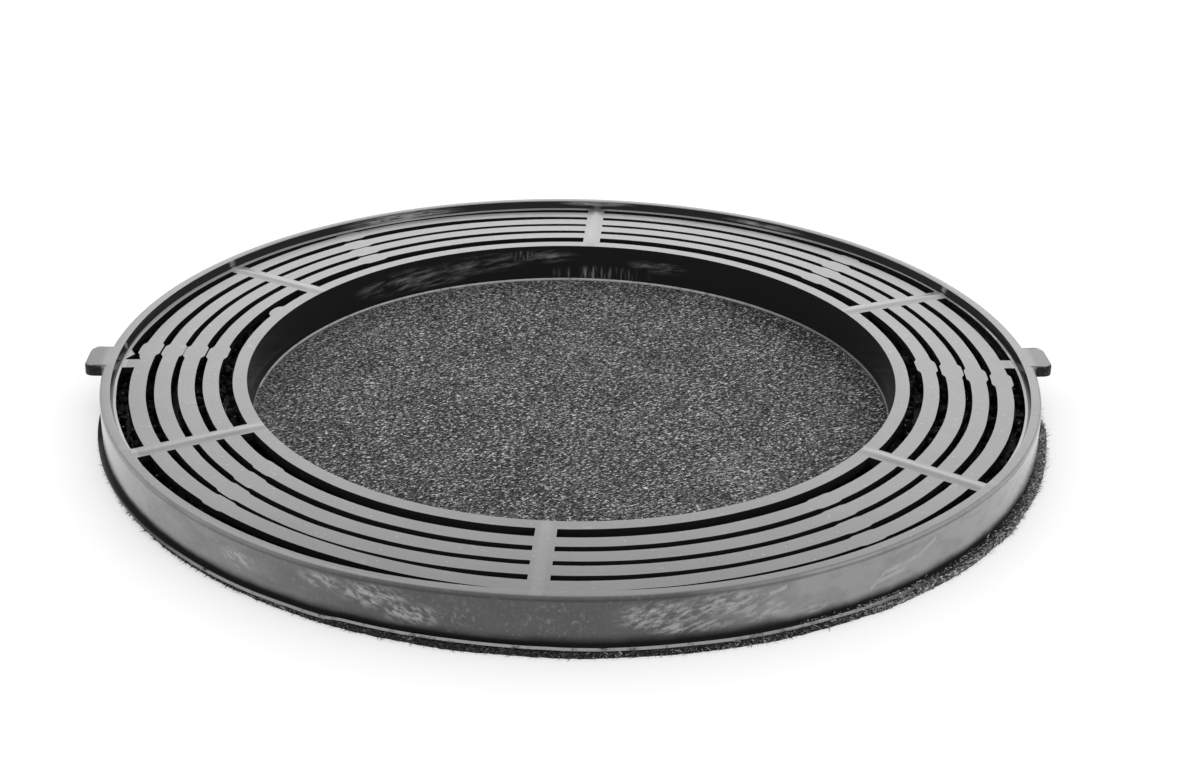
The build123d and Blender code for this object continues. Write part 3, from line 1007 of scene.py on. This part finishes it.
def make_felt():
    """The round of felt: a fine grid cut to its uneven outline, given its thickness and its grain."""
    deselect()
    cells = round(2 * FELT_RADIUS / FELT_CELL)
    bpy.ops.mesh.primitive_grid_add(x_subdivisions=cells, y_subdivisions=cells, size=2 * FELT_RADIUS,
                                    location=(0, 0, FELT_HIGH.z))
    felt = bpy.context.active_object
    felt.name = "felt_disc"
    bpy.ops.object.transform_apply(location=True)
    select_faces(felt, lambda face: polar(face.center)[0] > FELT_RADIUS - FELT_CELL * 0.6)
    bpy.ops.mesh.delete(type="FACE")
    bpy.ops.mesh.select_mode(type="EDGE")
    bpy.ops.mesh.select_all(action="DESELECT")
    bpy.ops.mesh.select_non_manifold()
    bpy.ops.object.mode_set(mode="OBJECT")
    for point in felt.data.vertices:
        if point.select:
            _, angle = polar(point.co)
            point.co = at_polar(felt_edge(angle), angle, FELT_HIGH.z)
    bpy.ops.object.mode_set(mode="EDIT")
    bpy.ops.mesh.extrude_region_move(TRANSFORM_OT_translate={"value": (0, 0, FELT_LOW.z - FELT_HIGH.z)})
    bpy.ops.mesh.edge_face_add()
    bpy.ops.mesh.select_all(action="SELECT")
    bpy.ops.mesh.normals_make_consistent(inside=False)
    bpy.ops.object.mode_set(mode="OBJECT")
    raise_grain(felt)
    for point in felt.data.vertices:
        point.co.x += FELT_MIDDLE
    bpy.ops.object.shade_smooth_by_angle(angle=radians(FELT_SMOOTH_ANGLE))
    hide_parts("carbon_felt")
    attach(felt, "root")
    return felt


# Loose fibres: every fourth one in the fringe is a thicker tuft
FIBRE_RADIUS = 0.055 * MM
TUFT_RADIUS = 0.14 * MM
FIBRE_SIDES = ((0, 2, 1), (0, 1, 4, 3), (1, 2, 5, 4), (2, 0, 3, 5), (3, 4, 6), (4, 5, 6), (5, 3, 6))

# The fringe round the felt's cut edge. Between two angles on the right it is longer and rises, and half of
# it is shorter and lies on the flange.
FRINGE_COUNT = 7000
FRINGE_SHORTEST = 0.5 * MM
FRINGE_LONGEST = 1.7 * MM
FRINGE_RISE = -0.08
LONG_FRINGE_ANGLES = (-62, 10)
LONG_FRINGE_LONGEST = 2.0 * MM
LONG_FRINGE_RISE = 0.3
ON_FLANGE_SHARE = 0.5
ON_FLANGE_SCALE = 0.6
FRINGE_TURN_SPREAD = 40
FRINGE_RISE_SPREAD = 0.3
FRINGE_BEND = 0.35

# Lint on the felt's face, mostly along its grain
LINT_COUNT = 900
LINT_SHORTEST = 0.6 * MM
LINT_LONGEST = 2.2 * MM
LINT_REACH = 0.97
LINT_TURN = 35
LINT_TURN_SPREAD = 40
LINT_RISE = 0.16
LINT_BEND = 0.3


def fibre_corners(start, heading, bend, thickness):
    """One curved fibre: a triangle at its root, a thinner one half way, and its tip."""
    side = heading.cross(Vector((0, 0, 1))).normalized()
    lift = side.cross(heading).normalized()
    corners = []
    for share, width in ((0.0, 1.0), (0.5, 0.8)):
        middle = start + heading * share + bend * (share * share)
        for number in range(3):
            turn = 2 * pi * number / 3
            corners.append(middle + (side * cos(turn) + lift * sin(turn)) * (thickness * width))
    corners.append(start + heading + bend)
    floor_level = FELT_LOW.z + SAME_PLACE
    return [Vector((corner.x, corner.y, max(floor_level, corner.z))) for corner in corners]


def fringe_fibre(chance):
    """A fibre out of the cut edge, or on the right one that lies on the flange: start, heading and bend."""
    angle = chance.uniform(-180, 180)
    first, last = LONG_FRINGE_ANGLES
    long = first < angle < last
    length = chance.uniform(FRINGE_SHORTEST, LONG_FRINGE_LONGEST if long else FRINGE_LONGEST)
    root_radius = felt_edge(angle) - chance.uniform(0.1, 0.8) * MM
    start = at_polar(root_radius, angle, chance.uniform(0.1, 1) * FELT_HIGH.z)
    start.x += FELT_MIDDLE
    if long and chance.random() < ON_FLANGE_SHARE:
        length *= ON_FLANGE_SCALE
        start = at_polar(chance.uniform(RIM_RADIUS, FLANGE_RADIUS), angle, FOOT + FLANGE_THICKNESS)
    direction = angle + chance.gauss(0, FRINGE_TURN_SPREAD)
    rise = chance.gauss(LONG_FRINGE_RISE if long else FRINGE_RISE, FRINGE_RISE_SPREAD)
    heading = at_polar(length, direction, length * rise)
    return start, heading, at_polar(length * FRINGE_BEND, chance.uniform(0, 360), 0)


def lint_fibre(chance):
    """A fibre lying on the felt's face: start, heading and bend."""
    radius = LIP_RADIUS * LINT_REACH * sqrt(chance.random())
    start = at_polar(radius, chance.uniform(0, 360), FELT_HIGH.z - FELT_GRAIN)
    length = chance.uniform(LINT_SHORTEST, LINT_LONGEST)
    direction = chance.gauss(LINT_TURN, LINT_TURN_SPREAD)
    heading = at_polar(length, direction, length * chance.uniform(0.0, LINT_RISE))
    return start, heading, at_polar(length * LINT_BEND, chance.uniform(0, 360), 0)


def make_fibres():
    """All the loose fibres as one piece."""
    chance = random.Random(11)
    points, sides = [], []
    for number in range(FRINGE_COUNT + LINT_COUNT):
        start, heading, bend = fringe_fibre(chance) if number < FRINGE_COUNT else lint_fibre(chance)
        first = len(points)
        thickness = TUFT_RADIUS if number % 4 == 0 and number < FRINGE_COUNT else FIBRE_RADIUS
        points += fibre_corners(start, heading, bend, thickness)
        sides += [tuple(first + index for index in side) for side in FIBRE_SIDES]
    fibres = mesh_piece("felt_fibres", points, sides)
    edit(fibres)
    bpy.ops.object.mode_set(mode="EDIT")
    bpy.ops.mesh.select_all(action="SELECT")
    bpy.ops.mesh.normals_make_consistent(inside=False)
    bpy.ops.object.mode_set(mode="OBJECT")
    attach(fibres, "root")
    return fibres


# Carbon granules in rows across the channel, each straying by a share of the rows' pitch, in a layer on a
# closed bed
GRANULE_SIZE = 3.8 * MM
GRANULE_SPREAD = (0.7, 1.15)
CORNER_SPREAD = (0.75, 1.15)
GRANULE_ROWS = 8
GRANULE_STRAY = 0.25
LAYER_DEPTH = 1.6 * MM
CHARGE_CLEARANCE = 0.3 * MM
CHARGE_INNER_RADIUS = CHANNEL_INNER_RADIUS + CHARGE_CLEARANCE
BED_LEVEL = CHARGE_LEVEL - LAYER_DEPTH
BED_STEPS = 180


def ball_pattern():
    """Corners and faces of a ball of twenty triangles, which every granule starts from."""
    deselect()
    bpy.ops.mesh.primitive_ico_sphere_add(subdivisions=1, radius=1)
    ball = bpy.context.active_object
    corners = [point.co.copy() for point in ball.data.vertices]
    faces = [tuple(face.vertices) for face in ball.data.polygons]
    bpy.data.objects.remove(ball)
    return corners, faces


def granule(chance, corners, radius, angle, pitch, size):
    """The corners of one crushed granule that lies near this radius and angle."""
    room = size * CORNER_SPREAD[1]
    strayed = radius + pitch * chance.uniform(-GRANULE_STRAY, GRANULE_STRAY)
    strayed = min(CHARGE_RADIUS - room, max(CHARGE_INNER_RADIUS + room, strayed))
    middle = at_polar(strayed, angle, BED_LEVEL + size * chance.uniform(0.1, 0.6))
    amount = chance.uniform(0, 2 * pi)
    axis = Vector((chance.random(), chance.random(), 0.5)).normalized()
    turn = Matrix.Rotation(amount, 3, axis)
    squash = Vector((chance.uniform(0.8, 1.2), chance.uniform(0.7, 1.0), chance.uniform(0.6, 0.9)))
    return [middle + turn @ (corner * size * chance.uniform(*CORNER_SPREAD) * squash) for corner in corners]


def granule_layer():
    """The layer of crushed granules on the bed, row by row."""
    chance = random.Random(7)
    corners, faces = ball_pattern()
    points, sides = [], []
    pitch = (CHARGE_RADIUS - CHARGE_INNER_RADIUS) / GRANULE_ROWS
    for row in range(GRANULE_ROWS):
        radius = CHARGE_INNER_RADIUS + pitch * (row + 0.5)
        count = int(2 * pi * radius / pitch)
        for number in range(count):
            size = GRANULE_SIZE / 2 * chance.uniform(*GRANULE_SPREAD)
            angle = 360 * (number + chance.uniform(-GRANULE_STRAY, GRANULE_STRAY)) / count
            first = len(points)
            points += granule(chance, corners, radius, angle, pitch, size)
            sides += [tuple(first + index for index in face) for face in faces]
    return mesh_piece("granules", points, sides)


def make_granules():
    """The carbon charge: a closed bed in the channel with a layer of crushed granules on it."""
    section = [(CHARGE_RADIUS, CHARGE_LOW.z), (CHARGE_RADIUS, BED_LEVEL),
               (CHARGE_INNER_RADIUS, BED_LEVEL), (CHARGE_INNER_RADIUS, CHARGE_LOW.z)]
    bed = spun_ring("carbon_bed", section, BED_STEPS)
    layer = granule_layer()
    activate(bed)
    layer.select_set(True)
    bpy.ops.object.join()
    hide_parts("carbon_granules")
    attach(bed, "root")
    return bed


# The photograph's viewpoint: where the camera stands, how far it turns and tips, and its slight roll
CAMERA_PLACE = (29.34 * MM, -488.73 * MM, 238.59 * MM)
CAMERA_TURN = 2.818
CAMERA_DOWN = 25.362
CAMERA_ROLL = 1.052
LENS = 64.71
SENSOR = 36.0
FLOOR_SIZE = 8


def make_camera():
    """The camera at the photograph's viewpoint."""
    deselect()
    bpy.ops.object.camera_add()
    camera = bpy.context.active_object
    turn = Matrix.Rotation(radians(CAMERA_TURN), 4, "Z")
    tip = Matrix.Rotation(radians(90 - CAMERA_DOWN), 4, "X")
    roll = Matrix.Rotation(radians(CAMERA_ROLL), 4, "Z")
    camera.matrix_world = Matrix.Translation(CAMERA_PLACE) @ turn @ tip @ roll
    camera.data.sensor_width = SENSOR
    camera.data.lens = LENS
    bpy.context.scene.camera = camera


def make_stage():
    """The white table top that the filter lies on."""
    deselect()
    bpy.ops.mesh.primitive_plane_add(size=FLOOR_SIZE)
    floor_plane = bpy.context.active_object
    floor_plane.name = "floor"
    return floor_plane


# Light: the white surround, the floor's own glow for the camera, and one lamp
WORLD_LIGHT = 0.8
FLOOR_GLOW = 0.4
KEY_PLACE = (0.0, 2.4, 1.08)
KEY_SIZE = 1.8
KEY_POWER = 9.5


def make_light():
    """An even white surround, and one large soft lamp far behind that brightens the bars' far tops."""
    world = bpy.context.scene.world or bpy.data.worlds.new("studio")
    bpy.context.scene.world = world
    world.use_nodes = True
    tree = world.node_tree
    back = tree.nodes["Background"]
    rays = tree.nodes.new("ShaderNodeLightPath")
    seen = tree.nodes.new("ShaderNodeMath")
    seen.operation = "MAXIMUM"
    tree.links.new(rays.outputs["Is Camera Ray"], seen.inputs[0])
    tree.links.new(rays.outputs["Is Glossy Ray"], seen.inputs[1])
    level = tree.nodes.new("ShaderNodeMapRange")
    level.inputs["To Min"].default_value = WORLD_LIGHT
    level.inputs["To Max"].default_value = 1.0
    tree.links.new(seen.outputs[0], level.inputs["Value"])
    tree.links.new(level.outputs[0], back.inputs["Strength"])
    back.inputs["Color"].default_value = (1, 1, 1, 1)
    deselect()
    bpy.ops.object.light_add(type="AREA", location=KEY_PLACE)
    lamp = bpy.context.active_object
    lamp.name = "key_lamp"
    lamp.data.size = KEY_SIZE
    lamp.data.energy = KEY_POWER
    lamp.rotation_euler = (-Vector(KEY_PLACE)).to_track_quat("-Z", "Y").to_euler()


make_camera()
make_light()
dress(make_stage(), table_white())
fringe = make_fibres()
dress(fringe, loose_fibres())
dress(make_felt(), carbon_felt())
dress(make_granules(), activated_carbon())
dress(make_frame(), frame_plastic())
bpy.context.scene.view_settings.view_transform = "Standard"
